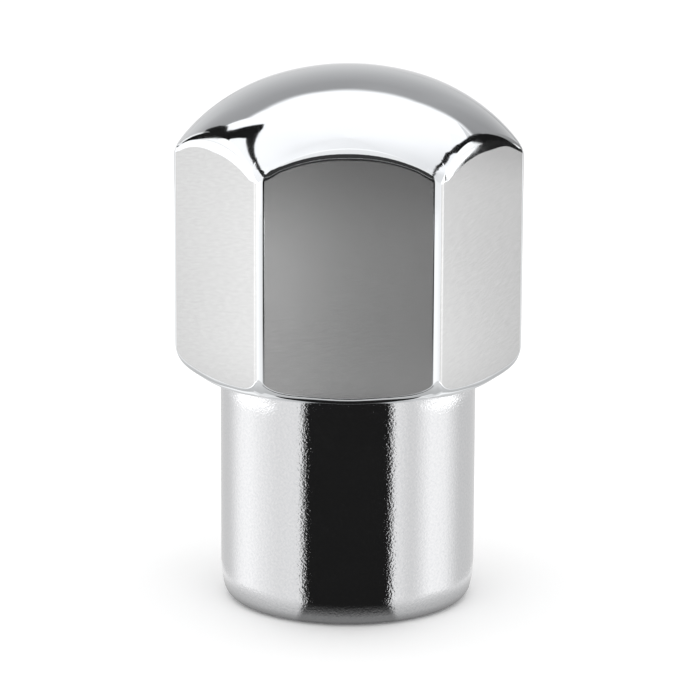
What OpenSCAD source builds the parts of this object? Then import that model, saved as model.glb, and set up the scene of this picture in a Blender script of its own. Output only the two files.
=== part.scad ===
// Mag lug nut: a closed, chrome-plated hexagon nut with a domed crown and a plain round shank.
// The shank drops into the bore of a mag wheel, and the flat seat face under the head clamps it.
// The nut stands on its shank end. The origin is the centre of that end face, and +Z is up.
// Two flats of the hexagon face along -Y and +Y, and two of its corners lie along -X and +X.

/* [Hexagon] */
// Width of the hexagon across its flats (13/16 in socket)
hex_af = 20.64; // [17:0.02:26]
// Radius of the six upright corners
corner_r = 0.8; // [0.3:0.05:2.5]
// Height of the head, from the seat face to the top of the crown
head_h = 20.9; // [14:0.1:30]

/* [Crown] */
// How much larger the spherical radius of the crown's flank is than the radius at the corners
flank_over = 3.0; // [2:0.1:4]
// How much larger the spherical radius over the crown's top is than that of its flank
top_over = 2.1; // [1.5:0.1:4]
// How far that flatter top lies below the top of the flank's sphere
top_drop = 0.3; // [0.2:0.02:0.4]
// Radius that blends the top into the flank
crown_blend_r = 4.0; // [2:0.1:4.5]
// Radius that rolls the crown's rim over into the six corners
rim_r = 1.7; // [0.8:0.1:3]

/* [Underside of the head] */
// How far the edge of the seat face lies inside the flats
seat_inset = 0.24; // [0.2:0.02:1]
// Angle of the bevel outside the seat face, measured from that face
bevel_deg = 19; // [12:1:30]
// Radius that rolls the bevel up into the six corners
bevel_r = 1.3; // [0.5:0.1:2]

/* [Shank] */
// Diameter of the shank
shank_d = 17.4; // [14:0.05:19.5]
// Length of the shank, from its end face to the seat face
shank_l = 15.85; // [10:0.05:30]
// Height at which the shank starts to taper in towards its end face, as a lead-in
lead_l = 1.7; // [1.2:0.1:4]
// Angle between that taper and the shank's wall
lead_deg = 13; // [5:1:20]
// Radius that blends the wall into the taper
lead_r = 3.0; // [1:0.5:5]
// Radius of the edge between the taper and the end face
foot_r = 1.0; // [0.3:0.1:1.2]

/* [Threaded bore] */
// Major diameter of the thread
thread_d = 12; // [8:0.5:14.5]
// Pitch of the thread
thread_pitch = 1.5; // [1:0.25:1.75]
// Thickness of metal between the drill's point and the top of the crown
top_wall = 6.0; // [3:0.5:10]
// Full angle of the drill's point
drill_point_deg = 118; // [90:1:140]
// How much wider than the thread the chamfer at the mouth is, on the radius
mouth_over = 0.3; // [0.1:0.05:0.6]

/* [Hidden] */
$fn = 96;

CHROME = "#C9CCD0";
FLATS = 6;
SECTOR = 360 / FLATS;
EPS = 0.01;

// The turned form stands this far outside the corners, so that it rolls into them without a step.
TURN_CLEAR = 0.02;
// ISO metric thread: the nut's minor diameter is the major one less this many pitches.
MINOR_DROP = 1.0825;
// The rounding of the shank's end takes at most this share of the wall round the mouth.
FOOT_SHARE = 0.6;
// A corner's cut reaches past the corner by this factor, so that no two of its sides coincide.
CUT_REACH = 1.1;

// Direction at an angle from +X, in plan or in a profile, where x is the radius and y the height.
function aim(a) = [cos(a), sin(a)];

flat_r = hex_af / 2;
corner_pos_r = (flat_r - corner_r) / cos(SECTOR / 2);
turned_r = corner_pos_r + corner_r + TURN_CLEAR;

shank_r = shank_d / 2;
seat_z = shank_l;
seat_r = flat_r - seat_inset;
top_z = shank_l + head_h;

// Crown: the top and the flank are spheres round the axis, an arc tangent to both blends them,
// and the rim's arc is tangent to the flank and ends upright at the turned radius.
flank_r = turned_r + flank_over;
top_r = flank_r + top_over;
top_c = [0, top_z - top_r];
flank_c = [0, top_z + top_drop - flank_r];
to_top = top_r - crown_blend_r;
to_flank = flank_r - crown_blend_r;
blend_z = (top_c.y + flank_c.y + (to_top * to_top - to_flank * to_flank) / (flank_c.y - top_c.y)) / 2;
blend_c = [sqrt(to_top * to_top - (blend_z - top_c.y) * (blend_z - top_c.y)), blend_z];
top_deg = atan2(blend_z - top_c.y, blend_c.x);
flank_deg = atan2(blend_z - flank_c.y, blend_c.x);
rim_deg = acos((turned_r - rim_r) / (flank_r - rim_r));
rim_c = flank_c + (flank_r - rim_r) * aim(rim_deg);

// Bevel: a straight line from the seat face, and an arc tangent to it and to the turned radius.
bevel_c_r = turned_r - bevel_r;
bevel_c_z = seat_z + ((bevel_c_r - seat_r) * sin(bevel_deg) + bevel_r) / cos(bevel_deg);
bevel_c = [bevel_c_r, bevel_c_z];
function bevel_z(r) = seat_z + (r - seat_r) * tan(bevel_deg);

// Bore: its depths are measured from the end face of the shank.
minor_r = (thread_d - MINOR_DROP * thread_pitch) / 2;
mouth_r = thread_d / 2 + mouth_over;
mouth_l = mouth_r - minor_r;
point_l = minor_r / tan(drill_point_deg / 2);
drill_l = top_z - top_wall - point_l;

// Foot of the shank: a taper with an arc at each end, which shrink where the wall is thin.
foot_w = lead_l * tan(lead_deg) + foot_r * tan(45 - lead_deg / 2);
foot_fit = min(1, FOOT_SHARE * (shank_r - mouth_r) / foot_w);
taper_l = lead_l * foot_fit;
taper_end_r = shank_r - taper_l * tan(lead_deg);
lead_c = [shank_r - lead_r, taper_l + lead_r * tan(lead_deg / 2)];
edge_r = foot_r * foot_fit;
foot_c = [taper_end_r - edge_r * tan(45 - lead_deg / 2), edge_r];

// What rounding a convex corner takes off: the corner, less a disc tangent to both its sides.
// The disc touches them where it is seen from its centre c at the angles from and to.
module corner_cut(c, r, from, to) {
    reach = CUT_REACH * r / cos((to - from) / 2);
    difference() {
        polygon([c, c + r * aim(from), c + reach * aim((from + to) / 2), c + r * aim(to)]);
        translate(c)
            circle(r);
    }
}

// Profile of the head as it leaves the lathe: crown above, seat face and bevel below.
module head_profile() {
    difference() {
        intersection() {
            polygon([
                [0, seat_z], [seat_r, seat_z], [turned_r, bevel_z(turned_r)],
                [turned_r, top_z], [0, top_z]
            ]);
            translate(top_c)
                circle(top_r);
            translate(flank_c)
                circle(flank_r);
        }
        corner_cut(bevel_c, bevel_r, bevel_deg - 90, 0);
        corner_cut(rim_c, rim_r, 0, rim_deg);
        corner_cut(blend_c, crown_blend_r, flank_deg, top_deg);
    }
}

// Outline of the hexagon, with its corners rounded.
module hex_outline() {
    difference() {
        circle(flat_r / cos(SECTOR / 2), $fn = FLATS);
        for (i = [0 : FLATS - 1]) {
            a = i * SECTOR;
            corner_cut(corner_pos_r * aim(a), corner_r, a - SECTOR / 2, a + SECTOR / 2);
        }
    }
}

// The turned form with its six flats.
module head() {
    intersection() {
        rotate_extrude()
            head_profile();
        translate([0, 0, seat_z - EPS])
            linear_extrude(head_h + 2 * EPS)
                hex_outline();
    }
}

module shank() {
    rotate_extrude()
        difference() {
            polygon([
                [0, 0], [taper_end_r, 0], [shank_r, taper_l], [shank_r, bevel_c_z], [0, bevel_c_z]
            ]);
            corner_cut(lead_c, lead_r, -lead_deg, 0);
            corner_cut(foot_c, edge_r, -90, -lead_deg);
        }
}

// The blind hole as drilled to the thread's minor diameter, with its mouth chamfered.
module bore() {
    rotate_extrude()
        polygon([
            [0, -EPS], [mouth_r + EPS, -EPS], [minor_r, mouth_l],
            [minor_r, drill_l], [0, drill_l + point_l]
        ]);
}

module lug_nut() {
    color(CHROME)
        difference() {
            union() {
                head();
                shank();
            }
            bore();
        }
}

lug_nut();
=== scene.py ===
"""Looks of a mag lug nut: a closed, chrome-plated wheel nut with a domed hexagon head and a plain shank."""

from __future__ import annotations

import logging
from dataclasses import dataclass, field
from enum import IntEnum
from math import cos, pi, radians, sin, tan
from typing import NamedTuple

import bmesh
import bpy
import numpy as np
from bpy.types import Material, Mesh, Node, NodeSocket, NodeTree, Object
from mathutils import Euler, Matrix, Vector

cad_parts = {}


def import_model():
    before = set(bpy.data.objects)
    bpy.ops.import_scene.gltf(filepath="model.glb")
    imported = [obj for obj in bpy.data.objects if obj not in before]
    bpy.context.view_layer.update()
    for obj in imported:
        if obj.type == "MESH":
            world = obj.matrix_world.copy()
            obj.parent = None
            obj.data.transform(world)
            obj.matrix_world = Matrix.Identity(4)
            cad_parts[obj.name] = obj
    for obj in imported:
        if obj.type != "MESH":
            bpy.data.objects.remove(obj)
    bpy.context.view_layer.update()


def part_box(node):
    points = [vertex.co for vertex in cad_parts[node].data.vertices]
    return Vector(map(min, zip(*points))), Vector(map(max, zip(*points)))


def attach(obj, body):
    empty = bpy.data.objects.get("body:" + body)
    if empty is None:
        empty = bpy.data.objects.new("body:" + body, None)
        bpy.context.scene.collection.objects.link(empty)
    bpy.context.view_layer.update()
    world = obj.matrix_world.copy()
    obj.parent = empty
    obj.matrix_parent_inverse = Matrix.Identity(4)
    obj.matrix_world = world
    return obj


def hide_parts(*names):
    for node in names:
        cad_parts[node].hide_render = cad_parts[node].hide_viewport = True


log = logging.getLogger("lug_nut_looks")

MM = 0.001
NODE = "lug_nut"
BODY = "root"
SIDES = 6
SECTOR = 2 * pi / SIDES
TURN_CLEAR = 0.02
GROUND_DEG = (38.0, 61.0)
UNIT_MM = 1000.0
UV_SPAN_MM = 100.0
WELD_M = 2e-7
CREASE_DEG = 32.0
WHITE_GLOW = 1.5
OPENING_GLOW = 0.05
DARK_GLOW = 0.015
BLACK_GLOW = 0.012


# ---------------------------------------------------------------- small tools


def linear(hex_colour: str) -> tuple[float, float, float, float]:
    """Turns an sRGB hex colour into the linear values that shaders take.

    Args:
        hex_colour: A colour such as "#C9CCD0".

    Returns:
        Linear red, green and blue, and an alpha of 1.
    """
    parts = [int(hex_colour[i : i + 2], 16) / 255 for i in (1, 3, 5)]
    red, green, blue = (c / 12.92 if c <= 0.04045 else ((c + 0.055) / 1.055) ** 2.4 for c in parts)
    return (red, green, blue, 1.0)


def add_node(tree: NodeTree, kind: str, values: dict | None = None, **links) -> Node:
    """Adds one shader node, sets its properties and sockets, and links its inputs.

    Args:
        tree: The node tree that gets the node.
        kind: The node's type, such as "ShaderNodeTexNoise".
        values: Property names, or input socket names, with the value each gets.
        **links: Input socket names, with spaces written as underscores, and the output that feeds each.

    Returns:
        The new node.
    """
    node = tree.nodes.new(kind)
    for key, value in (values or {}).items():
        if hasattr(node, key):
            setattr(node, key, value)
        else:
            node.inputs[key].default_value = value
    for key, source in links.items():
        socket = node.inputs[int(key[1:])] if key[1:].isdigit() else node.inputs[key.replace("_", " ")]
        tree.links.new(source, socket)
    return node


def steps(count: int, ease_in: bool = False, ease_out: bool = False) -> np.ndarray:
    """Spreads numbers from 0 to 1, closer together at the ends that are eased.

    Args:
        count: How many numbers.
        ease_in: Crowd them towards 0.
        ease_out: Crowd them towards 1.

    Returns:
        The numbers, rising from 0 to 1. An eased end follows a cosine.
    """
    t = np.linspace(0, 1, count)
    if ease_in and ease_out:
        return (1 - np.cos(pi * t)) / 2
    if ease_in:
        return 1 - np.cos(pi * t / 2)
    if ease_out:
        return np.sin(pi * t / 2)
    return t


# ------------------------------------------------------------------- finishes


class Zone(IntEnum):
    """Which finish a face has, in the order of the piece's material slots."""

    CROWN = 0
    FLAT = 1
    EDGE = 2
    SHANK = 3
    BORE = 4


@dataclass(frozen=True)
class Finish:
    """One finish of the nut's metal.

    Attributes:
        name: The material's name.
        colour: Its sRGB hex colour.
        roughness: Its middle roughness.
    """

    name: str
    colour: str
    roughness: float

    def build(self) -> Material:
        """Makes the material and returns it."""
        material = bpy.data.materials.new(self.name)
        material.use_nodes = True
        tree = material.node_tree
        tree.nodes.clear()
        shader = add_node(
            tree,
            "ShaderNodeBsdfPrincipled",
            {"Base Color": linear(self.colour), "Metallic": 1.0, "Roughness": self.roughness},
        )
        self.detail(tree, shader)
        add_node(tree, "ShaderNodeOutputMaterial", Surface=shader.outputs["BSDF"])
        return material

    def detail(self, tree: NodeTree, shader: Node) -> None:
        """Adds the finish's own colour, roughness and bump to its shader."""
        raise NotImplementedError

    @staticmethod
    def spread(tree: NodeTree, source: NodeSocket, low: float, high: float) -> NodeSocket:
        """Maps a pattern's middle values, 0.3 to 0.7, to a range from low to high.

        Args:
            tree: The material's node tree.
            source: The pattern.
            low: What 0.3 becomes.
            high: What 0.7 becomes.

        Returns:
            The mapped value.
        """
        return add_node(
            tree,
            "ShaderNodeMapRange",
            {"From Min": 0.3, "From Max": 0.7, "To Min": low, "To Max": high},
            Value=source,
        ).outputs["Result"]

    @staticmethod
    def noise(
        tree: NodeTree, at: NodeSocket, size_mm: float, per_unit_mm: float, detail: float = 2.0
    ) -> NodeSocket:
        """Noise whose blobs have a real size.

        Args:
            tree: The material's node tree.
            at: The coordinates it follows.
            size_mm: The size of one blob.
            per_unit_mm: How many millimetres one unit of the coordinates is.
            detail: How many finer layers are added.

        Returns:
            The noise, about 0 to 1.
        """
        return add_node(
            tree, "ShaderNodeTexNoise", {"Scale": per_unit_mm / size_mm, "Detail": detail}, Vector=at
        ).outputs["Fac"]

    @classmethod
    def strokes(
        cls, tree: NodeTree, at: NodeSocket, size_mm: float, run: float, tilt_deg: float
    ) -> NodeSocket:
        """Noise drawn out into strokes over the unrolled surface.

        Args:
            tree: The material's node tree.
            at: The unrolled surface's coordinates.
            size_mm: The strokes' width.
            run: How many times longer than wide they are.
            tilt_deg: How far they lean from upright.

        Returns:
            The strokes, about 0 to 1.
        """
        lay = add_node(
            tree,
            "ShaderNodeMapping",
            {"vector_type": "TEXTURE", "Rotation": (0, 0, radians(tilt_deg)), "Scale": (1.0, run, 1.0)},
            Vector=at,
        )
        return cls.noise(tree, lay.outputs["Vector"], size_mm, UV_SPAN_MM, 3.0)

    def blend(self, tree: NodeTree, shader: Node, part: NodeSocket, other: str) -> None:
        """Mixes the finish's colour with another one.

        Args:
            tree: The material's node tree.
            shader: The shader that gets the mixed colour.
            part: How much of the other colour shows, 0 to 1.
            other: The other colour, as sRGB hex.
        """
        mix = add_node(tree, "ShaderNodeMix", {"data_type": "RGBA"}, _0=part)
        mix.inputs[6].default_value = linear(self.colour)
        mix.inputs[7].default_value = linear(other)
        tree.links.new(mix.outputs[2], shader.inputs["Base Color"])

    @staticmethod
    def relief(tree: NodeTree, *patterns: tuple[NodeSocket, float]) -> NodeSocket:
        """Adds patterns up, each with a real depth, and bends the surface by their sum.

        Args:
            tree: The material's node tree.
            *patterns: Each pattern, 0 to 1, with how many millimetres its 1 stands over its 0.

        Returns:
            The bumped normal.
        """
        height = None
        for pattern, depth_mm in patterns:
            step = add_node(tree, "ShaderNodeMath", {"operation": "MULTIPLY_ADD"}, _0=pattern)
            step.inputs[1].default_value = depth_mm
            step.inputs[2].default_value = 0.0
            if height:
                tree.links.new(height, step.inputs[2])
            height = step.outputs[0]
        bump = add_node(tree, "ShaderNodeBump", {"Strength": 1.0, "Distance": MM}, Height=height)
        return bump.outputs["Normal"]


@dataclass(frozen=True)
class MirrorPlate(Finish):
    """Decorative chromium plate on buffed steel: a mirror with long, faint waves from the buffing wheel."""

    wave_mm: float = 2.6
    wave_depth_mm: float = 0.0006
    pit_mm: float = 0.22
    pit_depth_mm: float = 0.00012
    cloud_mm: float = 1.7

    def detail(self, tree: NodeTree, shader: Node) -> None:
        """Bends the mirror with long waves and fine peel, and clouds its gloss a little."""
        at = add_node(tree, "ShaderNodeTexCoord").outputs["Object"]
        waves = self.noise(tree, at, self.wave_mm, UNIT_MM, 1.0)
        peel = self.noise(tree, at, self.pit_mm, UNIT_MM, 2.0)
        normal = self.relief(tree, (waves, self.wave_depth_mm), (peel, self.pit_depth_mm))
        tree.links.new(normal, shader.inputs["Normal"])
        clouds = self.noise(tree, at, self.cloud_mm, UNIT_MM, 4.0)
        rough = self.spread(tree, clouds, 0.6 * self.roughness, 1.5 * self.roughness)
        tree.links.new(rough, shader.inputs["Roughness"])


@dataclass(frozen=True)
class SatinPlate(Finish):
    """Chromium plate on belt-ground flats: satin, with faint grain that leans a little from level.

    The real grain's width wasn't measured. The drawn width was chosen so that a render shows it.
    """

    grain_mm: float = 0.14
    grain_run: float = 7.0
    grain_tilt_deg: float = 80.0
    grain_depth_mm: float = 0.0009
    cloud_mm: float = 2.4
    worn_colour: str = "#ADADAD"

    def detail(self, tree: NodeTree, shader: Node) -> None:
        """Lays grain over the flat, which dulls its colour too, and clouds its gloss very slightly."""
        at = add_node(tree, "ShaderNodeUVMap").outputs["UV"]
        grain = self.strokes(tree, at, self.grain_mm, self.grain_run, self.grain_tilt_deg)
        tree.links.new(self.relief(tree, (grain, self.grain_depth_mm)), shader.inputs["Normal"])
        self.blend(tree, shader, self.spread(tree, grain, 0.0, 1.0), self.worn_colour)
        clouds = self.noise(tree, at, self.cloud_mm, UV_SPAN_MM, 4.0)
        rough = self.spread(tree, clouds, 0.98 * self.roughness, 1.03 * self.roughness)
        tree.links.new(rough, shader.inputs["Roughness"])


@dataclass(frozen=True)
class TurnedPlate(Finish):
    """Chromium plate on a shank dressed with a belt: bright, with fine strokes that cross at a slant.

    The real strokes' width wasn't measured. The drawn width was chosen so that a render shows them.
    """

    stroke_mm: float = 0.14
    stroke_run: float = 2.2
    stroke_tilt_deg: float = 62.0
    stroke_depth_mm: float = 0.011
    grit_depth_mm: float = 0.014
    cloud_mm: float = 1.9
    worn_colour: str = "#D0D1D3"

    def detail(self, tree: NodeTree, shader: Node) -> None:
        """Lays two sets of strokes over each other and grit over them, and clouds the gloss."""
        at = add_node(tree, "ShaderNodeUVMap").outputs["UV"]
        left, right = (
            self.strokes(tree, at, self.stroke_mm, self.stroke_run, tilt)
            for tilt in (self.stroke_tilt_deg, -self.stroke_tilt_deg)
        )
        solid = add_node(tree, "ShaderNodeTexCoord").outputs["Object"]
        grit = self.noise(tree, solid, self.stroke_mm, UNIT_MM, 2.0)
        depth = self.stroke_depth_mm
        normal = self.relief(tree, (left, depth), (right, depth), (grit, self.grit_depth_mm))
        tree.links.new(normal, shader.inputs["Normal"])
        both = add_node(tree, "ShaderNodeMath", {"operation": "ADD"}, _0=left, _1=right).outputs[0]
        worn = add_node(tree, "ShaderNodeMapRange", {"From Min": 0.75, "From Max": 1.25}, Value=both)
        self.blend(tree, shader, worn.outputs["Result"], self.worn_colour)
        clouds = self.noise(tree, solid, self.cloud_mm, UNIT_MM, 4.0)
        rough = self.spread(tree, clouds, 0.8 * self.roughness, 1.25 * self.roughness)
        tree.links.new(rough, shader.inputs["Roughness"])


@dataclass(frozen=True)
class CutSteel(Finish):
    """Bare tapped steel inside the bore: thin plating over tool marks, dull and slightly brown."""

    mark_mm: float = 0.12
    mark_depth_mm: float = 0.003
    cloud_mm: float = 2.2
    dark_colour: str = "#6E6A66"

    def detail(self, tree: NodeTree, shader: Node) -> None:
        """Marks the thread's flanks and lets cutting oil darken it in clouds."""
        at = add_node(tree, "ShaderNodeTexCoord").outputs["Object"]
        marks = self.noise(tree, at, self.mark_mm, UNIT_MM, 3.0)
        tree.links.new(self.relief(tree, (marks, self.mark_depth_mm)), shader.inputs["Normal"])
        clouds = self.noise(tree, at, self.cloud_mm, UNIT_MM, 5.0)
        self.blend(tree, shader, self.spread(tree, clouds, 0.0, 1.0), self.dark_colour)


# ------------------------------------------------------------------- geometry


@dataclass(frozen=True)
class NutSizes:
    """The nut's real sizes in millimetres. The overall ones come from the frame."""

    top_z: float
    across_flats: float
    across_corners: float
    corner_r: float = 0.8
    seat_z: float = 15.85
    seat_r: float = 10.08
    shank_r: float = 8.7
    minor_r: float = 5.188
    major_r: float = 6.0
    pitch: float = 1.5
    mouth_r: float = 6.3
    drill_l: float = 27.63
    drill_point_deg: float = 118.0

    @classmethod
    def from_frame(cls) -> NutSizes:
        """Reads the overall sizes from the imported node's box."""
        low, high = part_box(NODE)
        return cls(
            top_z=high.z / MM,
            across_flats=(high.y - low.y) / MM,
            across_corners=(high.x - low.x) / MM,
        )

    @property
    def flat_r(self) -> float:
        """Distance from the axis to a flat."""
        return self.across_flats / 2

    @property
    def turned_r(self) -> float:
        """Radius that the crown and the bevel are turned to, just past the corners."""
        return self.across_corners / 2 + TURN_CLEAR


@dataclass(frozen=True)
class Outline:
    """The hexagon's outline as columns around the axis, from one back corner round to it again.

    Attributes:
        azimuth: Each column's angle about the axis, rising through a full turn.
        radius: How far the hexagon reaches there.
        along: How far along the outline the column is.
        ground: Whether the belt ground the faces after each column.
        length: The whole outline's length.
    """

    azimuth: np.ndarray
    radius: np.ndarray
    along: np.ndarray
    ground: np.ndarray
    length: float

    @classmethod
    def of(cls, sizes: NutSizes, on_flat: int = 26, on_corner: int = 12) -> Outline:
        """Walks the rounded hexagon: straight along each flat, then round each corner's arc.

        A flat's point is (flat distance, step along it), and a corner's point is the arc's centre plus its
        radius at the angle reached. Both are then turned to their sector. The belt ground the flats, and
        ran over the corners next to the side flats, where they face GROUND_DEG degrees off the Y axis.

        Args:
            sizes: The nut's sizes.
            on_flat: Columns on each flat.
            on_corner: Columns on each corner's arc.

        Returns:
            The outline, with its seam in the middle of the corner at +X.
        """
        half = (sizes.flat_r - sizes.corner_r) * tan(SECTOR / 2)
        flat = half * (2 * steps(on_flat + 1, ease_in=True, ease_out=True)[:-1] - 1)
        flat_xy = np.stack([np.full_like(flat, sizes.flat_r), flat], 1)
        turn = np.linspace(0, SECTOR, on_corner + 1)[:-1]
        corner_xy = np.stack(
            [
                sizes.flat_r - sizes.corner_r + sizes.corner_r * np.cos(turn),
                half + sizes.corner_r * np.sin(turn),
            ],
            1,
        )
        sector = np.concatenate([flat_xy, corner_xy])
        ground = np.concatenate([np.ones(on_flat, bool), np.zeros(on_corner, bool)])
        spin = SECTOR * (np.arange(SIDES) + 0.5)
        x = sector[:, 0] * np.cos(spin)[:, None] - sector[:, 1] * np.sin(spin)[:, None]
        y = sector[:, 0] * np.sin(spin)[:, None] + sector[:, 1] * np.cos(spin)[:, None]
        start = -(on_corner // 2)
        x, y = np.roll(x.ravel(), -start), np.roll(y.ravel(), -start)
        ground = np.roll(np.tile(ground, SIDES), -start)
        run = np.degrees(np.arctan2(np.roll(y, -1) - y, np.roll(x, -1) - x))
        facing = np.abs((run + 90) % 180 - 90)
        ground |= (facing > GROUND_DEG[0]) & (facing < GROUND_DEG[1])
        azimuth = np.unwrap(np.arctan2(y, x))
        gap = np.hypot(x - np.roll(x, 1), y - np.roll(y, 1))
        along = np.cumsum(gap) - gap[0]
        return cls(azimuth, np.hypot(x, y), along, ground, float(gap.sum()))


@dataclass
class Skin:
    """A surface round the axis, as a grid of radii and heights over the outline's columns.

    Attributes:
        radius: Distance from the axis, by row and column.
        height: Height, by row and column.
        zone: The finish of the faces after each row and column.
        climb: How many rows the surface climbs in one turn, which is not 0 on a thread.
        datum: The row from which its UV map is measured off, so that patterns stay level there.
    """

    radius: np.ndarray
    height: np.ndarray
    zone: np.ndarray
    climb: int = 0
    datum: int = 0

    def faces(self) -> np.ndarray:
        """Joins neighbouring points into quads, with the last column joined to the first, climb rows up.

        Returns:
            Four point numbers a face, in the order that points the face outwards.
        """
        rows, columns = self.radius.shape
        row = np.arange(rows - 1)[:, None] + np.zeros(columns, int)
        column = np.arange(columns) + np.zeros(rows - 1, int)[:, None]
        wraps = column == columns - 1
        after = (column + 1) % columns
        row_a = np.minimum(row + wraps * self.climb, rows - 1)
        row_b = np.minimum(row + 1 + wraps * self.climb, rows - 1)
        corners = [(row, column), (row + 1, column), (row_b, after), (row_a, after)]
        return np.stack([r * columns + c for r, c in corners], -1).reshape(-1, 4)


@dataclass
class Head:
    """The turned and forged head: a domed crown over a hexagon, bevelled beneath to a flat seat.

    Every section through the axis is the same walk: down the crown's arcs until it meets the hexagon, round
    the edge there, down the flat, round the lower edge, and in along the bevel to the seat.
    """

    sizes: NutSizes
    top_r: float = 17.0
    top_deg: float = 18.0
    rim_deg: float = 52.0
    rim_r: float = 1.7
    edge_r: float = 0.86
    bevel_deg: float = 19.0
    bevel_r: float = 1.3
    lower_break: float = 0.42
    least_break: float = 0.06
    turn_gap: float = 0.001
    seat_gap: float = 0.01

    @property
    def flank_r(self) -> float:
        """Radius of the crown's flank, which brings its three arcs out to the turned radius."""
        a, b = sin(radians(self.top_deg)), sin(radians(self.rim_deg))
        return (self.sizes.turned_r - self.top_r * a - self.rim_r * (1 - b)) / (b - a)

    def crown(self, tilt: np.ndarray) -> tuple[np.ndarray, np.ndarray]:
        """A point of the crown's section, by how far its surface tilts from level.

        Three arcs follow each other without a corner: each one's centre lies on the last one's end radius.

        Args:
            tilt: The tilt in radians, 0 at the top and a quarter turn at the rim.

        Returns:
            Its radius and height.
        """
        a, b = radians(self.top_deg), radians(self.rim_deg)
        arcs = [(self.top_r, 0.0, a), (self.flank_r, a, b), (self.rim_r, b, pi / 2)]
        radius, height = np.zeros_like(tilt), np.full_like(tilt, self.sizes.top_z)
        for size, start, end in arcs:
            reach = np.clip(tilt, start, end)
            radius += size * (np.sin(reach) - sin(start))
            height -= size * (cos(start) - np.cos(reach))
        return radius, height

    def tilt_at(self, radius: np.ndarray) -> np.ndarray:
        """The crown's tilt where its section reaches a radius, by the sines of its three arcs.

        Args:
            radius: The radius, from the axis out to the turned radius.

        Returns:
            The tilt in radians.
        """
        a, b = radians(self.top_deg), radians(self.rim_deg)
        flank_at = (self.top_r - self.flank_r) * sin(a)
        rim_at = self.sizes.turned_r - self.rim_r
        arcs = ((0.0, self.top_r), (flank_at, self.flank_r), (rim_at, self.rim_r))
        top, flank, rim = (np.arcsin(np.clip((radius - at) / size, -1, 1)) for at, size in arcs)
        return np.where(top < a, top, np.where(flank < b, flank, rim))

    def bevel(self, radius: np.ndarray) -> np.ndarray:
        """Height of the bevel beneath the head: a cone out from the seat, rounded up to the turned radius.

        Args:
            radius: The radius, from the seat's edge out to the turned radius.

        Returns:
            The height there.
        """
        slope = radians(self.bevel_deg)
        centre_r = self.sizes.turned_r - self.bevel_r
        centre_z = self.sizes.seat_z + (
            (centre_r - self.sizes.seat_r) * sin(slope) + self.bevel_r
        ) / cos(slope)
        cone = self.sizes.seat_z + (radius - self.sizes.seat_r) * tan(slope)
        arc = centre_z - np.sqrt(np.maximum(self.bevel_r**2 - (radius - centre_r) ** 2, 0))
        return np.where(radius < centre_r + self.bevel_r * sin(slope), cone, arc)

    @staticmethod
    def buffing(azimuth: np.ndarray) -> np.ndarray:
        """How much further down each flat the buffing wheel has rounded its upper edge.

        It ran further down the four flats beside the front and the back one, most of all on the left.

        Args:
            azimuth: The columns' angles about the axis.

        Returns:
            The rounding's depth down the flat, as a multiple of its depth up the crown.
        """
        turned = (np.degrees(azimuth) + 270) % 360 - 180
        near = np.where(np.abs(turned) > 90, np.sign(turned) * 180 - turned, turned)
        at = [-90, -60, -34, -24, 0, 24, 34, 66, 77, 90]
        return np.interp(near, at, [1.6, 2.9, 2.9, 1.2, 1.6, 1.2, 2.8, 2.6, 1.7, 1.4])

    @staticmethod
    def rounding(start: tuple, corner: tuple, end: tuple, count: int) -> tuple[np.ndarray, np.ndarray]:
        """Rounds a corner of the section with a parabola: start and end pulled towards the corner.

        Args:
            start: Radius and height where the rounding leaves the first side, by column.
            corner: Where the two sides would meet.
            end: Where it joins the second side.
            count: How many rows, the first and last left out.

        Returns:
            Radii and heights, by row and column.
        """
        w = steps(count + 2)[1:-1, None]
        mix = [(1 - w) ** 2 * s + 2 * w * (1 - w) * c + w**2 * e for s, c, e in zip(start, corner, end)]
        return mix[0], mix[1]

    def skin(self, outline: Outline) -> Skin:
        """Builds the head from the crown's pole down to the seat's outer edge.

        Args:
            outline: The hexagon's columns.

        Returns:
            Its surface.
        """
        reach = np.minimum(outline.radius, self.sizes.turned_r - self.turn_gap)
        tilt = self.tilt_at(reach)
        bend = np.where(tilt > radians(self.rim_deg), self.rim_r, self.flank_r)
        edge_break = np.maximum(self.edge_r * np.tan((pi / 2 - tilt) / 2), self.least_break)
        reach_in = (reach**2 - self.sizes.flat_r**2) / (self.sizes.turned_r**2 - self.sizes.flat_r**2)
        last_tilt = tilt - edge_break * (1 - 0.5 * reach_in) / bend
        crown_rows = self.crown(steps(56)[:, None] * last_tilt)
        meet = (reach, self.crown(tilt)[1])
        flat_top = (reach, meet[1] - edge_break * self.buffing(outline.azimuth))
        leave = (crown_rows[0][-1], crown_rows[1][-1])
        upper = self.rounding(leave, meet, flat_top, 12)
        low = self.bevel(reach)
        flat_end = (reach, low + self.lower_break)
        drop = steps(26, ease_in=True, ease_out=True)[:, None]
        flat_rows = (reach + 0 * drop, flat_top[1] + drop * (flat_end[1] - flat_top[1]))
        inner = reach - self.lower_break * cos(radians(self.bevel_deg))
        inner = np.maximum(inner, self.sizes.seat_r + self.seat_gap)
        lower = self.rounding(flat_end, (reach, low), (inner, self.bevel(inner)), 9)
        fall = steps(8, ease_in=True)[:, None]
        bevel_r = inner + fall * (self.sizes.seat_r - inner)
        parts = [crown_rows, upper, flat_rows, lower, (bevel_r, self.bevel(bevel_r))]
        radius = np.concatenate([p[0] for p in parts])
        height = np.concatenate([p[1] for p in parts])
        counts = [len(p[0]) for p in parts]
        zone = np.full(radius.shape, Zone.EDGE)
        zone[: counts[0]] = Zone.CROWN
        first = counts[0] + counts[1]
        zone[first : first + counts[2] - 1, outline.ground] = Zone.FLAT
        zone[-counts[4] :] = Zone.SHANK
        return Skin(radius, height, zone[:-1], datum=first)


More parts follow.
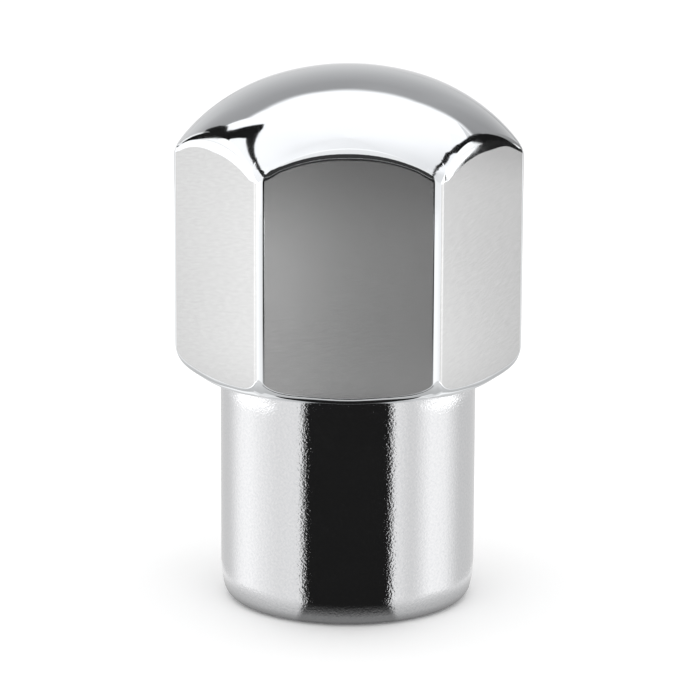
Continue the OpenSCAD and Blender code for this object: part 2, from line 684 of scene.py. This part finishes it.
@dataclass
class Shank:
    """The turned shank: seat, shank wall, a slight lead-in taper, a rounded foot and the end face."""

    sizes: NutSizes
    root_r: float = 0.15
    lead_l: float = 1.7
    lead_deg: float = 13.0
    lead_r: float = 3.0
    foot_r: float = 1.0
    wall_row: int = 12

    def profile(self) -> tuple[np.ndarray, np.ndarray, np.ndarray]:
        """The section, as straight runs joined by true arcs.

        Returns:
            Radii, heights and the finish after each point, from the seat's outer edge to the bore's mouth.
        """
        s = self.sizes
        tilt = radians(self.lead_deg)
        taper_end = s.shank_r - self.lead_l * tan(tilt)
        lead_z = self.lead_l + self.lead_r * tan(tilt / 2)
        runs = [
            self.line((s.seat_r, s.seat_z), (s.shank_r + self.root_r, s.seat_z), 5),
            self.arc((s.shank_r + self.root_r, s.seat_z - self.root_r), self.root_r, 90, 180, 6),
            self.line((s.shank_r, s.seat_z - self.root_r), (s.shank_r, lead_z), 16),
            self.arc((s.shank_r - self.lead_r, lead_z), self.lead_r, 0, -self.lead_deg, 5),
        ]
        foot_c = (taper_end - self.foot_r * tan(radians(45) - tilt / 2), self.foot_r)
        runs += [
            self.arc(foot_c, self.foot_r, -self.lead_deg, -90, 12),
            self.line((foot_c[0], 0.0), (s.mouth_r, 0.0), 5),
        ]
        radius = np.concatenate([r for r, _ in runs])
        height = np.concatenate([z for _, z in runs])
        zone = np.full(len(radius), Zone.SHANK)
        zone[: len(runs[0][0])] = Zone.EDGE
        return radius, height, zone

    @staticmethod
    def line(
        start: tuple[float, float], end: tuple[float, float], count: int
    ) -> tuple[np.ndarray, np.ndarray]:
        """Points spread evenly between two ends, with both ends in."""
        t = steps(count)
        return start[0] + t * (end[0] - start[0]), start[1] + t * (end[1] - start[1])

    @staticmethod
    def arc(
        centre: tuple[float, float], size: float, start_deg: float, end_deg: float, count: int
    ) -> tuple[np.ndarray, np.ndarray]:
        """Points round a centre, from one angle to another, with 0 outwards and 90 up."""
        t = np.radians(start_deg + steps(count) * (end_deg - start_deg))
        return centre[0] + size * np.cos(t), centre[1] + size * np.sin(t)

    def skin(self, outline: Outline) -> Skin:
        """Turns the section round the axis, with the same radius in every column."""
        radius, height, zone = self.profile()
        around = np.zeros(len(outline.azimuth))
        zones = (zone[:-1, None] + around).astype(int)
        return Skin(radius[:, None] + around, height[:, None] + around, zones, datum=self.wall_row)


@dataclass
class Bore:
    """The tapped bore: a chamfered mouth, a right-hand thread that runs out, and the drill's point."""

    sizes: NutSizes
    runout: float = 3.0
    fade: float = 2.2

    def skin(self, outline: Outline) -> Skin:
        """Builds the bore from its mouth up to the drill's point.

        Rows follow the helix. A row keeps its place in the thread's form and climbs one pitch a turn, so
        height = pitch x (row's turn + angle / full turn), held between the mouth and the wall's end. The
        radius is the minor one plus the thread's depth, which is a trapezium with 60 degrees between its
        flanks: root an eighth of the pitch wide, crest a quarter. Near its end the depth fades to nothing,
        and the mouth's chamfer cuts it wherever the chamfer is wider.

        Args:
            outline: The columns that the outer skin has too.

        Returns:
            Its surface.
        """
        s = self.sizes
        bends = np.array([-0.75, -0.54, -0.33, -0.125, 0.125, 0.33, 0.54, 0.75, 1.0]) / 2
        turns = np.arange(-1, int(s.drill_l / s.pitch) + 2)
        turn = (turns[:, None] + bends).ravel()
        form = np.clip((0.75 - 2 * np.abs(np.tile(bends, len(turns)))) / 0.625, 0, 1)
        angle = (outline.azimuth - outline.azimuth[0]) / (2 * pi)
        height = np.clip(s.pitch * (turn[:, None] + angle), 0, s.drill_l)
        left = np.clip((s.drill_l - self.runout - height) / self.fade, 0, 1)
        radius = s.minor_r + (s.major_r - s.minor_r) * form[:, None] * left
        radius = np.maximum(radius, s.mouth_r - height)
        cone_l = s.minor_r / tan(radians(s.drill_point_deg / 2))
        rise = steps(8)[1:, None] + 0 * angle
        radius = np.concatenate([radius, s.minor_r * (1 - rise)])
        height = np.concatenate([height, s.drill_l + cone_l * rise])
        zone = np.full((len(radius) - 1, len(angle)), int(Zone.BORE))
        return Skin(radius, height, zone, climb=len(bends))


@dataclass
class LugNut:
    """The whole nut as one closed, welded piece."""

    sizes: NutSizes
    name: str = "plated_nut"
    finishes: tuple[Finish, ...] = field(
        default_factory=lambda: (
            MirrorPlate("buffed_chrome_plate", "#D6D8DB", 0.05),
            SatinPlate("ground_chrome_plate", "#B3B3B3", 0.2),
            MirrorPlate(
                "rolled_chrome_edge", "#DADCDE", 0.05, wave_mm=1.2, pit_mm=0.14, pit_depth_mm=0.0006
            ),
            TurnedPlate("turned_chrome_plate", "#DADADB", 0.05),
            CutSteel("tapped_steel", "#A7A39E", 0.34),
        )
    )

    def build(self) -> Object:
        """Builds the three skins over the same columns, welds them and dresses the piece.

        Returns:
            The piece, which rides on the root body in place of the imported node.
        """
        outline = Outline.of(self.sizes)
        skins = [part(self.sizes).skin(outline) for part in (Head, Shank, Bore)]
        mesh = self.weld(skins, outline)
        piece = bpy.data.objects.new(self.name, mesh)
        bpy.context.scene.collection.objects.link(piece)
        for finish in self.finishes:
            mesh.materials.append(finish.build())
        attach(piece, BODY)
        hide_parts(NODE)
        return piece

    def weld(self, skins: list[Skin], outline: Outline) -> Mesh:
        """Puts the skins into one mesh and merges the points that they share.

        A point is (radius x cosine of azimuth, radius x sine of azimuth, height). The UV map unrolls the
        surface: across is the way round the hexagon's outline, and down is the way along the section.

        Args:
            skins: The surfaces, each starting where the last one ends.
            outline: The columns that they share.

        Returns:
            The mesh, closed and facing outwards.
        """
        points, faces, zones, unrolled = [], [], [], []
        first = 0
        for skin in skins:
            x, y = skin.radius * np.cos(outline.azimuth), skin.radius * np.sin(outline.azimuth)
            points.append(np.stack([x, y, skin.height], -1).reshape(-1, 3) * MM)
            step = np.hypot(np.diff(skin.radius, axis=0), np.diff(skin.height, axis=0))
            way = np.concatenate([0 * step[:1], np.cumsum(step, 0)])
            way -= way[skin.datum] + skin.height[skin.datum]
            quads = skin.faces()
            rows, columns = skin.radius.shape
            across = outline.along[quads % columns]
            wraps = (quads[:, :1] % columns == columns - 1) & (quads % columns == 0)
            across = across + wraps * outline.length
            unrolled.append(np.stack([across, way.ravel()[quads]], -1).reshape(-1, 2) / UV_SPAN_MM)
            faces.append(quads + first)
            zones.append(skin.zone.ravel())
            first += rows * columns
        mesh = bpy.data.meshes.new(self.name)
        mesh.from_pydata(np.concatenate(points).tolist(), [], np.concatenate(faces).tolist())
        mesh.polygons.foreach_set("material_index", np.concatenate(zones).astype(np.int32))
        uv = mesh.uv_layers.new(name="unrolled")
        uv.data.foreach_set("uv", np.concatenate(unrolled).ravel().astype(np.float32))
        form = bmesh.new()
        form.from_mesh(mesh)
        bmesh.ops.remove_doubles(form, verts=form.verts, dist=WELD_M)
        bmesh.ops.dissolve_degenerate(form, edges=form.edges, dist=WELD_M)
        form.to_mesh(mesh)
        form.free()
        mesh.shade_smooth()
        mesh.set_sharp_from_angle(angle=radians(CREASE_DEG))
        self.true_normals(mesh)
        return mesh

    def true_normals(self, mesh: Mesh) -> None:
        """Gives the crown the normals of its arcs, so that its mirror shows no facets.

        A normal is (sine of tilt x direction from the axis, cosine of tilt). A zero normal leaves the
        mesh's own, which serves the rest of the nut.

        Args:
            mesh: The welded mesh.
        """
        points = np.empty((len(mesh.vertices), 3))
        mesh.vertices.foreach_get("co", points.ravel())
        corners = np.empty(len(mesh.loops), np.int32)
        mesh.loops.foreach_get("vertex_index", corners)
        zones = np.empty(len(mesh.polygons), np.int32)
        mesh.polygons.foreach_get("material_index", zones)
        sides = np.empty(len(mesh.polygons), np.int32)
        mesh.polygons.foreach_get("loop_total", sides)
        crown = corners[np.repeat(zones == Zone.CROWN, sides)]
        radius = np.hypot(points[:, 0], points[:, 1])
        tilt = Head(self.sizes).tilt_at(radius / MM)
        away = points[:, :2] / np.maximum(radius, WELD_M)[:, None]
        normals = np.zeros_like(points)
        normals[crown] = np.column_stack([np.sin(tilt)[:, None] * away, np.cos(tilt)])[crown]
        mesh.normals_split_custom_set_from_vertices(normals.tolist())


# --------------------------------------------------------------------- studio


def heading(azimuth_deg: np.ndarray, elevation_deg: np.ndarray) -> np.ndarray:
    """Directions from the nut, where azimuth 0 is towards the camera and 90 is towards +X.

    Args:
        azimuth_deg: Angles about the axis.
        elevation_deg: Angles above level.

    Returns:
        Unit vectors: cosine of elevation x (sine, -cosine of azimuth), and sine of elevation.
    """
    a, e = np.radians(azimuth_deg), np.radians(elevation_deg)
    return np.stack([np.cos(e) * np.sin(a), -np.cos(e) * np.cos(a), np.sin(e) + 0 * a], -1)


class Post(NamedTuple):
    """One upright of a card.

    Attributes:
        azimuth: Where it stands, in degrees.
        low: The level of its foot.
        high: The level of its top.
        glows: How brightly the card shines there, at even steps from foot to top; 0 is a black flag.
    """

    azimuth: float
    low: float
    high: float
    glows: tuple[float, ...]


def even(glow: float, *spans: tuple[float, float, float]) -> tuple[Post, ...]:
    """Gives every post the same glow.

    Args:
        glow: The glow.
        *spans: Azimuth, low level and high level of each post.

    Returns:
        The posts.
    """
    return tuple(Post(*span, (glow, glow)) for span in spans)


def ring(low: float, high: float, *rows: tuple[float, ...]) -> tuple[Post, ...]:
    """Gives every post the same foot and top.

    Args:
        low: The foot's level.
        high: The top's level.
        *rows: Azimuth of each post, followed by its glows.

    Returns:
        The posts.
    """
    return tuple(Post(row[0], low, high, row[1:]) for row in rows)


def wall(low: float, *tops: tuple[float, float, float]) -> tuple[Post, ...]:
    """Gives every post the same foot, and one glow from foot to top.

    Args:
        low: The foot's level.
        *tops: Azimuth, top's level and glow of each post.

    Returns:
        The posts.
    """
    return tuple(Post(azimuth, low, high, (glow, glow)) for azimuth, high, glow in tops)


@dataclass(frozen=True)
class Card:
    """A light box, a grey sheet or a black flag beside the set, or a sheet that paints light and shade for
    the nut to mirror; only reflections see them.

    It is stretched over posts. Between them its foot, its top and its glow change evenly.

    Attributes:
        name: The card's name.
        posts: Its posts, rising in azimuth.
        soft: The levels over which its top edge fades to white.
    """

    name: str
    posts: tuple[Post, ...]
    soft: float = 0.0

    def place(self, azimuth: np.ndarray, level: np.ndarray) -> np.ndarray:
        """Turns azimuths and levels into points in millimetres."""
        raise NotImplementedError

    def sheet(self) -> tuple[np.ndarray, np.ndarray]:
        """Spreads the card over a grid, one column a degree, with a column at each post.

        Returns:
            Its points in millimetres and its glow, by row and column.
        """
        at, low, high = (np.array([post[i] for post in self.posts], float) for i in range(3))
        azimuth = np.union1d(np.arange(at[0], at[-1], 1.0), at)
        rise = steps(41)[:, None]
        foot, top = np.interp(azimuth, at, low), np.interp(azimuth, at, high)
        level = foot + rise * (top - foot)
        glows = zip(*(post.glows for post in self.posts))
        stops = np.stack([np.interp(azimuth, at, glow) for glow in glows])
        reach = rise[:, 0] * (len(stops) - 1)
        below = np.minimum(reach.astype(int), len(stops) - 2)
        part = (reach - below)[:, None]
        glow = stops[below] * (1 - part) + stops[below + 1] * part
        fade = np.clip(1 - (top - level) / max(self.soft, WELD_M), 0, 1)
        return self.place(azimuth + 0 * level, level), glow + fade * (WHITE_GLOW - glow) * (self.soft > 0)

    def build(self) -> Object:
        """Stands the card in place and hides it from the camera.

        Returns:
            The card.
        """
        points, glow = self.sheet()
        rows, columns = glow.shape
        at = np.arange(rows * columns).reshape(rows, columns)
        quads = np.stack([at[:-1, :-1], at[1:, :-1], at[1:, 1:], at[:-1, 1:]], -1).reshape(-1, 4)
        mesh = bpy.data.meshes.new(self.name)
        mesh.from_pydata((points.reshape(-1, 3) * MM).tolist(), [], quads.tolist())
        shine = mesh.attributes.new("glow", "FLOAT", "POINT")
        shine.data.foreach_set("value", glow.ravel().astype(np.float32))
        material = bpy.data.materials.new(self.name)
        material.use_nodes = True
        tree = material.node_tree
        tree.nodes.clear()
        strength = add_node(tree, "ShaderNodeAttribute", {"attribute_name": "glow"}).outputs["Fac"]
        light = add_node(tree, "ShaderNodeEmission", Strength=strength)
        add_node(tree, "ShaderNodeOutputMaterial", Surface=light.outputs["Emission"])
        mesh.materials.append(material)
        card = bpy.data.objects.new(self.name, mesh)
        bpy.context.scene.collection.objects.link(card)
        card.visible_camera = card.visible_diffuse = card.visible_shadow = False
        return card


@dataclass(frozen=True)
class Screen(Card):
    """A card far off, whose levels are elevations in degrees as seen from the crown.

    Attributes:
        distance: How far off it is, in millimetres.
        eye_z: The height that it is seen from.
    """

    distance: float = 600.0
    eye_z: float = 31.0

    def place(self, azimuth: np.ndarray, level: np.ndarray) -> np.ndarray:
        """Sends each point out along its direction."""
        return heading(azimuth, level) * self.distance + (0, 0, self.eye_z)


@dataclass(frozen=True)
class FloorSheet(Card):
    """A card laid on the floor, whose glows paint the floor's light and shade for the nut to mirror; its
    levels are distances from the axis in millimetres.

    Attributes:
        lift: How far it lies above the floor.
    """

    lift: float = 0.05

    def place(self, azimuth: np.ndarray, level: np.ndarray) -> np.ndarray:
        """Lays each point out on the floor."""
        return heading(azimuth, 0 * azimuth) * level[..., None] + (0, 0, self.lift)


@dataclass(frozen=True)
class Collar(Card):
    """A card bent close round the shank, set out by the part of the shank that mirrors it, so that its
    glows paint the shank's reflected light and shade.

    A look that meets the shank at azimuth n leaves it at 2n. It reaches the collar after a distance of
    root(collar radius squared - (shank radius x sine n) squared) - shank radius x cosine n.

    Attributes:
        radius: The collar's radius in millimetres.
        shank_r: The shank's.
    """

    radius: float = 12.0
    shank_r: float = 8.7

    def place(self, azimuth: np.ndarray, level: np.ndarray) -> np.ndarray:
        """Follows each look from the shank to the collar, at the height that is asked for."""
        turn, none = np.radians(azimuth), 0 * azimuth
        reach = np.sqrt(self.radius**2 - (self.shank_r * np.sin(turn)) ** 2) - self.shank_r * np.cos(turn)
        points = heading(azimuth, none) * self.shank_r + heading(2 * azimuth, none) * reach[..., None]
        points[..., 2] = level
        return points


CARDS: tuple[Card, ...] = (
    # The white tent overhead: a little dimmer in front and to the right.
    Screen(
        "tent",
        (
            Post(-180, 38, 90, (1.5, 1.5, 1.5, 1.5, 1.45)),
            Post(-150, 40, 90, (1.5, 1.5, 1.5, 1.5, 1.45)),
            Post(-141, 30, 90, (1.5, 1.5, 1.5, 1.5, 1.45)),
            Post(-125, 30, 90, (1.5, 1.5, 1.5, 1.5, 1.4)),
            Post(-95, 46, 90, (1.5, 1.45, 1.4, 1.4, 1.35)),
            Post(-80, 46, 90, (1.42, 1.41, 1.28, 1.28, 1.3)),
            Post(-60, 50, 90, (1.4, 1.47, 1.45, 1.3, 1.3)),
            Post(0, 52, 90, (1.22, 1.45, 1.42, 1.25, 1.28)),
            Post(48, 52, 90, (1.15, 1.38, 1.38, 1.25, 1.28)),
            Post(60, 50, 90, (1.08, 1.12, 1.19, 1.23, 1.3)),
            Post(80, 48, 90, (1.1, 1.17, 1.28, 1.34, 1.35)),
            Post(100, 46, 90, (1.2, 1.38, 1.45, 1.45, 1.4)),
            Post(120, 38, 90, (1.5, 1.5, 1.5, 1.5, 1.45)),
            Post(180, 38, 90, (1.5, 1.5, 1.5, 1.5, 1.45)),
        ),
        distance=900.0,
    ),
    # Its white sides, from the left round the front to the right.
    Screen(
        "tent_sides",
        (
            Post(-132, -6, 50, (1.45, 1.45)),
            Post(-78, -6, 52, (1.45, 1.45)),
            Post(-55, -6, 55, (1.3, 1.3)),
            Post(-20, -6, 55, (1.1, 1.2)),
            Post(20, -6, 55, (1.08, 1.16)),
            Post(45, -6, 55, (1.08, 1.08)),
            Post(68, -6, 52, (1.1, 1.1)),
            Post(80, -6, 50, (1.42, 1.42)),
            Post(128, -6, 46, (1.45, 1.45)),
        ),
        distance=800.0,
    ),
    # The camera's side of the room, seen through the tent's opening.
    Screen(
        "opening",
        even(
            OPENING_GLOW,
            (-66, 34, 38),
            (-61, 26, 36.5),
            (-41, 18, 34),
            (-25, 8, 31.5),
            (-17, -6, 24),
            (0, -6, 18),
            (15, -6, 19),
            (24, 6, 22),
            (45, 18, 29),
            (60, 28, 34.5),
            (67, 38, 41),
        ),
        distance=700.0,
    ),
    # The grey sheet behind, with a soft top edge and a dim right side.
    Screen(
        "grey_sheet",
        (
            Post(126, -6, 33, (0.38, 0.38, 0.38, 0.38, 0.38, 0.38)),
            Post(140, -6, 38, (0.36, 0.36, 0.37, 0.4, 0.42, 0.42)),
            Post(148, -6, 43, (0.35, 0.36, 0.4, 0.43, 0.46, 0.48)),
            Post(156, -6, 46, (0.5, 0.52, 0.53, 0.54, 0.5, 0.48)),
            Post(164, -6, 46.5, (0.67, 0.69, 0.66, 0.55, 0.48, 0.5)),
            Post(172, -6, 46.5, (0.9, 0.76, 0.7, 0.58, 0.48, 0.52)),
            Post(180, -6, 46.5, (1.2, 0.78, 0.72, 0.6, 0.47, 0.45)),
            Post(190, -6, 46.5, (0.9, 0.78, 0.72, 0.6, 0.47, 0.44)),
            Post(204, -6, 46, (0.8, 0.76, 0.7, 0.58, 0.47, 0.44)),
            Post(212, -6, 45, (0.55, 0.55, 0.52, 0.5, 0.47, 0.46)),
            Post(218.5, -6, 42, (0.5, 0.5, 0.48, 0.46, 0.46, 0.46)),
        ),
        soft=3.0,
        distance=560.0,
    ),
    # Black flags that draw the dark line round the crown.
    Screen(
        "left_flag",
        even(
            BLACK_GLOW,
            (-148, 18.5, 19.5),
            (-144, 20, 27),
            (-140, 22, 32.5),
            (-136, 19, 34),
            (-134, 16, 38),
            (-132, 14, 51),
            (-127, 38, 52),
            (-124.5, 42, 51.6),
            (-121, 46, 51.3),
            (-110, 47.5, 50.8),
            (-95, 48.6, 50.5),
            (-85, 48, 50.2),
            (-79, 46, 49.2),
            (-75, 43, 47.5),
            (-70, 38.5, 44),
            (-65, 33, 37.5),
        ),
        distance=480.0,
    ),
    Screen(
        "left_post",
        even(
            BLACK_GLOW,
            (-133, 14, 40),
            (-129, 11, 40),
            (-128, -4, 39),
            (-122, -3.5, 34),
            (-120, 0, 28),
            (-118.3, 8, 22),
        ),
        distance=480.0,
    ),
    Screen(
        "right_flag",
        even(
            BLACK_GLOW,
            (66, 36.5, 39),
            (69, 40, 43),
            (72, 44, 46.7),
            (78, 48, 50),
            (84, 49.5, 51.2),
            (91, 48.2, 50.2),
            (97, 47.8, 50.2),
            (103, 47.6, 49.8),
            (107, 46.2, 48),
            (112, 42.5, 46.6),
            (115.6, 38, 45.3),
            (116, 8, 45.1),
            (117.8, 0, 44.2),
            (119, -3.6, 43.4),
            (119.8, -6, 43),
            (125.6, -6, 39.9),
            (126.6, 8, 39.2),
            (128, 14, 38.4),
            (131, 18.5, 36.6),
            (134, 22, 34),
            (138, 25, 30),
            (142, 23.5, 24.5),
        ),
        distance=480.0,
    ),
    # Painted reflections of the floor: sheets whose glows paint its light, the opening's shade in front and
    # bright glints, far off, and nearer, where the flats mirror it.
    FloorSheet(
        "painted_far_floor",
        ring(
            150,
            570,
            (-180, 1.3, 1.3),
            (-168, 0.83, 0.83),
            (-135, 0.8, 0.8),
            (-127, 1.4, 1.4),
            (-119, 1.5, 1.5),
            (-112, 2.0, 2.0),
            (-98, 2.0, 2.0),
            (-20, 1.3, 1.3),
            (-16, 0.05, 0.05),
            (15, 0.05, 0.05),
            (18, 1.2, 1.2),
            (70, 1.2, 1.2),
            (98, 2.0, 2.0),
            (111, 2.0, 2.0),
            (127, 1.45, 1.45),
            (134, 0.6, 0.6),
            (168, 0.83, 0.83),
            (180, 1.3, 1.3),
        ),
    ),
    # Black sheets that paint dark reflections of the floor, in front and to the right.
    FloorSheet("painted_front_dark", even(0.0, (-14, 160, 205), (11, 160, 205)), lift=0.1),
    FloorSheet("painted_right_dark", even(0.02, (117.3, 163, 200), (118.3, 163, 570), (125, 175, 570)), lift=0.1),
    FloorSheet(
        "painted_near_floor",
        ring(
            52,
            150,
            (-180, 1.0, 0.83, 0.83, 0.83, 0.83),
            (-133, 0.8, 1.0, 1.1, 1.1, 1.1),
            (-124, 0.78, 1.15, 1.12, 1.15, 1.2),
            (-118, 0.78, 1.4, 1.45, 1.6, 1.7),
            (-110, 0.85, 2.1, 2.2, 2.4, 2.6),
            (-105, 2.2, 2.2, 2.4, 2.6, 2.8),
            (-98, 2.2, 2.2, 2.4, 2.6, 2.8),
            (-76, 2.2, 1.6, 1.65, 1.7, 1.7),
            (-66, 1.1, 1.5, 1.5, 1.5, 1.5),
            (-57, 0.8, 1.4, 1.4, 1.4, 1.4),
            (-21, 0.9, 1.2, 1.1, 1.1, 1.1),
            (-16, 1.2, 0.5, 0.06, 0.06, 0.06),
            (-7, 1.3, 0.4, 0.06, 0.06, 0.06),
            (-5.5, 1.1, 1.0, 1.4, 2.9, 5.0),
            (-3.4, 1.0, 0.9, 1.35, 2.3, 3.8),
            (-2.4, 0.8, 0.5, 0.4, 0.55, 1.0),
            (6.4, 0.8, 0.5, 0.34, 0.65, 1.5),
            (7.6, 1.0, 0.4, 0.06, 0.06, 0.06),
            (15, 1.2, 0.5, 0.06, 0.06, 0.06),
            (18, 0.9, 1.4, 1.4, 1.4, 1.4),
            (38, 0.85, 1.42, 1.42, 1.42, 1.42),
            (60, 0.8, 1.3, 1.3, 1.3, 1.3),
            (66, 1.1, 1.2, 1.2, 1.2, 1.2),
            (74, 2.2, 1.3, 1.3, 1.3, 1.3),
            (98, 2.2, 2.1, 2.3, 2.5, 2.6),
            (104, 1.5, 2.1, 2.3, 2.5, 2.6),
            (110, 0.75, 2.0, 2.1, 2.3, 2.4),
            (118, 0.7, 1.05, 1.07, 1.07, 1.05),
            (128, 0.7, 1.1, 1.1, 1.1, 1.05),
            (140, 1.0, 0.83, 0.83, 0.83, 0.83),
            (180, 1.0, 0.83, 0.83, 0.83, 0.83),
        ),
    ),
    # Painted shade of the floor under the nut's own overhang, which its lower edge and its bevel mirror.
    FloorSheet(
        "painted_overhang_shade",
        ring(
            12,
            52,
            (-180, 0.6, 0.6, 0.62, 0.7, 0.8),
            (-122, 0.6, 0.62, 0.64, 0.7, 0.78),
            (-107, 0.62, 0.66, 0.66, 0.68, 0.85),
            (-60, 0.6, 0.72, 0.9, 0.88, 0.85),
            (-10, 0.5, 0.58, 0.68, 0.77, 0.9),
            (6, 0.5, 0.58, 0.68, 0.8, 0.9),
            (16, 0.5, 0.58, 0.62, 0.72, 0.9),
            (67, 0.6, 0.68, 0.95, 0.92, 0.85),
            (113, 0.58, 0.6, 0.6, 0.66, 0.72),
            (180, 0.6, 0.6, 0.62, 0.7, 0.8),
        ),
    ),
    # Painted reflections on the shank: a dark shape in front, and light from both sides, down its wall and
    # at its top under the shoulder.
    Collar(
        "painted_shank_reflection",
        wall(
            0.05,
            (-92, 13.6, 0.75),
            (-75, 13.6, 0.75),
            (-67, 13.6, 0.82),
            (-57, 13.6, 1.3),
            (-50, 13.6, 1.36),
            (-43, 13.6, 1.2),
            (-35, 13.7, 1.06),
            (-32, 15.05, 1.04),
            (-27, 15.05, 1.06),
            (-20.4, 15.05, 1.05),
            (-19.9, 15.05, DARK_GLOW),
            (19.9, 15.05, DARK_GLOW),
            (20.4, 15.05, 1.15),
            (29, 15.05, 0.92),
            (32, 15.05, 0.95),
            (35, 13.7, 1.1),
            (40, 13.6, 1.32),
            (49, 13.6, 1.26),
            (60, 13.6, 0.8),
            (72, 13.6, 0.75),
            (92, 13.6, 0.75),
        ),
    ),
    Collar(
        "painted_shoulder_reflection",
        wall(
            12.2,
            (-33, 13.3, 1.05),
            (-20.4, 13.3, 0.85),
            (-19.9, 13.3, DARK_GLOW),
            (19.9, 13.3, DARK_GLOW),
            (20.4, 13.3, 1.0),
            (33, 13.3, 1.0),
        ),
        radius=20.0,
    ),
    # Painted shade: the nut's own shade where it stands, as its foot mirrors it.
    FloorSheet(
        "contact_shade",
        ring(
            7.45,
            12,
            (-180, 0.0, 0.36, 0.56, 0.74, 0.92, 1.05, 1.1),
            (-26, 0.0, 0.36, 0.6, 0.8, 0.92, 0.98, 1.0),
            (-23, 0.0, 0.26, 0.26, 0.08, DARK_GLOW, DARK_GLOW, DARK_GLOW),
            (23, 0.0, 0.26, 0.26, 0.08, DARK_GLOW, DARK_GLOW, DARK_GLOW),
            (26, 0.0, 0.36, 0.58, 0.74, 0.88, 0.95, 1.0),
            (180, 0.0, 0.32, 0.5, 0.68, 0.85, 0.95, 1.0),
        ),
    ),
)


@dataclass
class Studio:
    """A white sweep under soft lamps, and the camera."""

    aim_z: float = 17.141
    distance: float = 271.96
    elevation_deg: float = 13.628
    roll_deg: float = 0.25
    lens: float = 205.0
    shift: float = 0.00257
    sensor: float = 36.0
    floor_half: float = 3000.0
    floor_lift: float = 0.03
    lamp_at: tuple[float, float, float] = (0.0, -60.0, 700.0)
    lamp_size: float = 500.0
    lamp_watts: float = 1.0
    lamp_aim_z: float = 20.0

    def camera(self) -> None:
        """Stands the camera a little above the nut, in front of one flat."""
        data = bpy.data.cameras.new("camera")
        data.lens, data.sensor_width, data.shift_x = self.lens, self.sensor, self.shift
        data.clip_start = 0.01
        camera = bpy.data.objects.new("camera", data)
        up = radians(self.elevation_deg)
        camera.location = (0, -self.distance * cos(up) * MM, (self.aim_z + self.distance * sin(up)) * MM)
        level = Euler((pi / 2 - up, 0, 0)).to_matrix()
        camera.rotation_euler = (level @ Matrix.Rotation(radians(self.roll_deg), 3, "Z")).to_euler()
        bpy.context.scene.collection.objects.link(camera)
        bpy.context.scene.camera = camera

    def floor(self) -> None:
        """Lays the white floor, which keeps the nut's shadow."""
        h = self.floor_half * MM
        mesh = bpy.data.meshes.new("floor")
        mesh.from_pydata([(-h, -h, 0), (h, -h, 0), (h, h, 0), (-h, h, 0)], [], [(0, 1, 2, 3)])
        material = bpy.data.materials.new("white_paper")
        material.use_nodes = True
        tree = material.node_tree
        tree.nodes.clear()
        paper = add_node(tree, "ShaderNodeBsdfDiffuse", {"Color": linear("#FAFAFA")})
        path = add_node(tree, "ShaderNodeLightPath").outputs
        seen = path["Is Camera Ray"]
        for ray in ("Is Glossy Ray", "Is Transmission Ray"):
            seen = add_node(tree, "ShaderNodeMath", {"operation": "ADD"}, _0=seen, _1=path[ray]).outputs[0]
        lift = add_node(tree, "ShaderNodeMath", {"operation": "MULTIPLY"}, _0=seen)
        lift.inputs[1].default_value = self.floor_lift
        glow = add_node(tree, "ShaderNodeEmission", Strength=lift.outputs[0])
        both = add_node(tree, "ShaderNodeAddShader", _0=paper.outputs[0], _1=glow.outputs[0])
        add_node(tree, "ShaderNodeOutputMaterial", Surface=both.outputs[0])
        mesh.materials.append(material)
        floor = bpy.data.objects.new("floor", mesh)
        bpy.context.scene.collection.objects.link(floor)

    def world(self) -> None:
        """Fills the room with even white light."""
        world = bpy.data.worlds.new("room")
        world.use_nodes = True
        bpy.context.scene.world = world
        world.node_tree.nodes["Background"].inputs["Color"].default_value = (1, 1, 1, 1)
        world.node_tree.nodes["Background"].inputs["Strength"].default_value = 1.0

    def lamp(self, name: str, at: tuple[float, float, float], size: float, watts: float) -> None:
        """Hangs one square soft lamp that faces the nut and isn't seen in its reflections.

        Args:
            name: The lamp's name.
            at: Where it hangs, in millimetres.
            size: Its width in millimetres.
            watts: Its power.
        """
        data = bpy.data.lights.new(name, "AREA")
        data.energy, data.size = watts, size * MM
        lamp = bpy.data.objects.new(name, data)
        lamp.location = Vector(at) * MM
        aim = Vector((0, 0, self.lamp_aim_z)) - Vector(at)
        lamp.rotation_euler = aim.to_track_quat("-Z", "Y").to_euler()
        lamp.visible_glossy = False
        bpy.context.scene.collection.objects.link(lamp)

    def build(self) -> None:
        """Sets up the whole studio."""
        self.camera()
        self.floor()
        self.world()
        self.lamp("top_lamp", self.lamp_at, self.lamp_size, self.lamp_watts)
        for card in CARDS:
            card.build()
        bpy.context.scene.view_settings.view_transform = "Standard"


def main() -> None:
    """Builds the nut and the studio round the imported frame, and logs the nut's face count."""
    logging.basicConfig(level=logging.INFO)
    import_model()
    sizes = NutSizes.from_frame()
    nut = LugNut(sizes).build()
    log.info("%s: %d faces", nut.name, len(nut.data.polygons))
    Studio().build()


if __name__ == "__main__":
    main()
